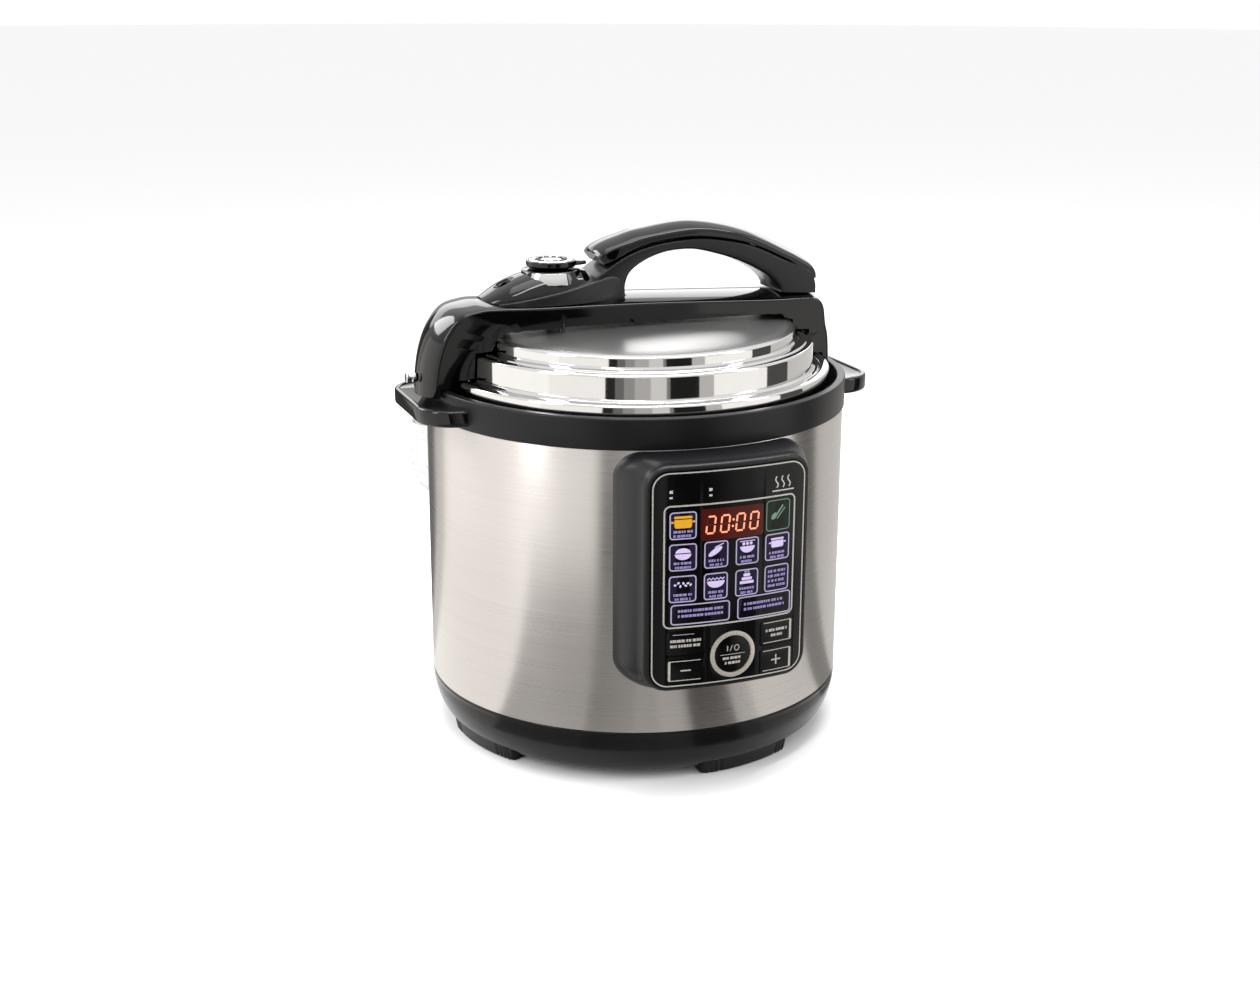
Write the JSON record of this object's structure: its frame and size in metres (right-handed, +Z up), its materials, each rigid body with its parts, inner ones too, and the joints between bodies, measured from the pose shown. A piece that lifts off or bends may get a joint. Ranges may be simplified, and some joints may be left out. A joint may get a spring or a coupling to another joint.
{
  "type": "electric pressure cooker",
  "caption": "Round countertop electric pressure cooker with a bayonet lid, arched lid grip, steam vent dial, front control panel, side handles and a rear condensation cup.",
  "frame": {"origin": "on the pot's vertical axis, at the height of the surface the feet stand on; this is the middle of the underside of the bounding box", "axes": "+Z up, X along the side handles and the lid's grip with the steam vent on the -X side, control panel facing -Y and power inlet facing +Y"},
  "size_m": [0.308, 0.3193, 0.331],
  "materials": {
    "satin_black_plastic": "satin, fine moulded grain",
    "gloss_black_plastic": "high gloss",
    "brushed_steel_body": "brushed round the body",
    "polished_steel": "mirror polished stainless steel",
    "plain_steel": "plain pressed stainless steel",
    "cast_aluminium": "as cast, machined on top",
    "coated_aluminium": "non-stick coating on pressed aluminium",
    "silicone": "milky silicone",
    "translucent_plastic": "translucent, lightly frosted",
    "display_window": "dark red tinted window",
    "circuit_board": "solder-masked board",
    "brass": "plain",
    "white_plastic": "satin"
  },
  "bodies": {
    "housing": {"base_pan": "satin_black_plastic", "base_screw_1": "plain_steel", "base_screw_2": "plain_steel", "base_screw_3": "plain_steel", "bayonet_flange": "plain_steel", "bottom_cover": "satin_black_plastic", "control_board": "circuit_board", "control_housing": "satin_black_plastic", "cup_bracket": "satin_black_plastic", "display_module": "satin_black_plastic", "display_window": "display_window", "fascia": "gloss_black_plastic", "foot_1": "satin_black_plastic", "foot_2": "satin_black_plastic", "foot_3": "satin_black_plastic", "foot_4": "satin_black_plastic", "heater_plate": "cast_aluminium", "heater_spring_plate": "plain_steel", "inlet_contacts": "brass", "light_guide": "white_plastic", "outer_shell": "brushed_steel_body", "power_board": "circuit_board", "power_inlet": "satin_black_plastic", "power_key_ring": "polished_steel", "power_lead": "satin_black_plastic", "pressure_liner": "plain_steel", "pressure_switch": "white_plastic", "sensor_holder": "plain_steel", "thermal_fuse": "plain_steel", "top_collar": "satin_black_plastic"},
    "pot": {"inner_pot": "coated_aluminium"},
    "seal": {"sealing_ring": "silicone"},
    "lid": {"lid_skin": "polished_steel", "lid_pan": "plain_steel", "seal_rack": "plain_steel", "vent_pipe": "plain_steel", "anti_block_shield": "plain_steel", "float_gasket": "silicone", "spine_beam": "gloss_black_plastic", "grip_lower": "satin_black_plastic", "grip_upper": "gloss_black_plastic", "grip_screw_1": "plain_steel", "grip_screw_2": "plain_steel", "lid_rest_pin": "gloss_black_plastic", "vent_fairing": "gloss_black_plastic", "vent_label": "polished_steel"},
    "vent": {"vent_dial": "satin_black_plastic", "dial_plate": "polished_steel", "vent_weight": "plain_steel"},
    "float": {"float_valve": "plain_steel"},
    "cup": {"condensation_cup": "translucent_plastic"},
    "sensor": {"sensor_cap": "brass", "sensor_spring": "plain_steel"},
    "minus_key": {"key_minus": "satin_black_plastic"},
    "plus_key": {"key_plus": "satin_black_plastic"},
    "select_key": {"key_select": "satin_black_plastic"},
    "timer_key": {"key_timer": "satin_black_plastic"},
    "power_key": {"key_power": "satin_black_plastic"}
  },
  "joints": [
    {"name": "pot_lift", "type": "slide", "parent": "housing", "child": "pot", "axis": [0, 0, 1], "range_m": [0, 0.17]},
    {"name": "lid_lift", "type": "slide", "parent": "pot", "child": "seal", "axis": [0, 0, 1], "range_m": [0, 0.15]},
    {"name": "lid_turn", "type": "hinge", "parent": "seal", "child": "lid", "pos_m": [0, 0, 0.24], "axis": [0, 0, 1], "range_deg": [0, 30]},
    {"name": "vent_turn", "type": "hinge", "parent": "lid", "child": "vent", "pos_m": [-0.057, 0, 0.3055], "axis": [0, 0, -1], "range_deg": [0, 75]},
    {"name": "float_lift", "type": "slide", "parent": "lid", "child": "float", "axis": [0, 0, 1], "range_m": [0, 0.0045]},
    {"name": "cup_slide", "type": "slide", "parent": "housing", "child": "cup", "axis": [-0.7071, 0.7071, 0], "range_m": [0, 0.05]},
    {"name": "sensor_press", "type": "slide", "parent": "housing", "child": "sensor", "axis": [0, 0, 1], "range_m": [-0.003, 0], "stiffness_N_per_m": 600, "springref_m": 0.001, "deforming": ["sensor_spring"]},
    {"name": "minus_key_press", "type": "slide", "parent": "housing", "child": "minus_key", "axis": [0, 1, 0], "range_m": [0, 0.0008], "stiffness_N_per_m": 1500, "springref_m": -0.0004},
    {"name": "plus_key_press", "type": "slide", "parent": "housing", "child": "plus_key", "axis": [0, 1, 0], "range_m": [0, 0.0008], "stiffness_N_per_m": 1500, "springref_m": -0.0004},
    {"name": "select_key_press", "type": "slide", "parent": "housing", "child": "select_key", "axis": [0, 1, 0], "range_m": [0, 0.0008], "stiffness_N_per_m": 1500, "springref_m": -0.0004},
    {"name": "timer_key_press", "type": "slide", "parent": "housing", "child": "timer_key", "axis": [0, 1, 0], "range_m": [0, 0.0008], "stiffness_N_per_m": 1500, "springref_m": -0.0004},
    {"name": "power_key_press", "type": "slide", "parent": "housing", "child": "power_key", "axis": [0, 1, 0], "range_m": [0, 0.0008], "stiffness_N_per_m": 1500, "springref_m": -0.0004}
  ]
}
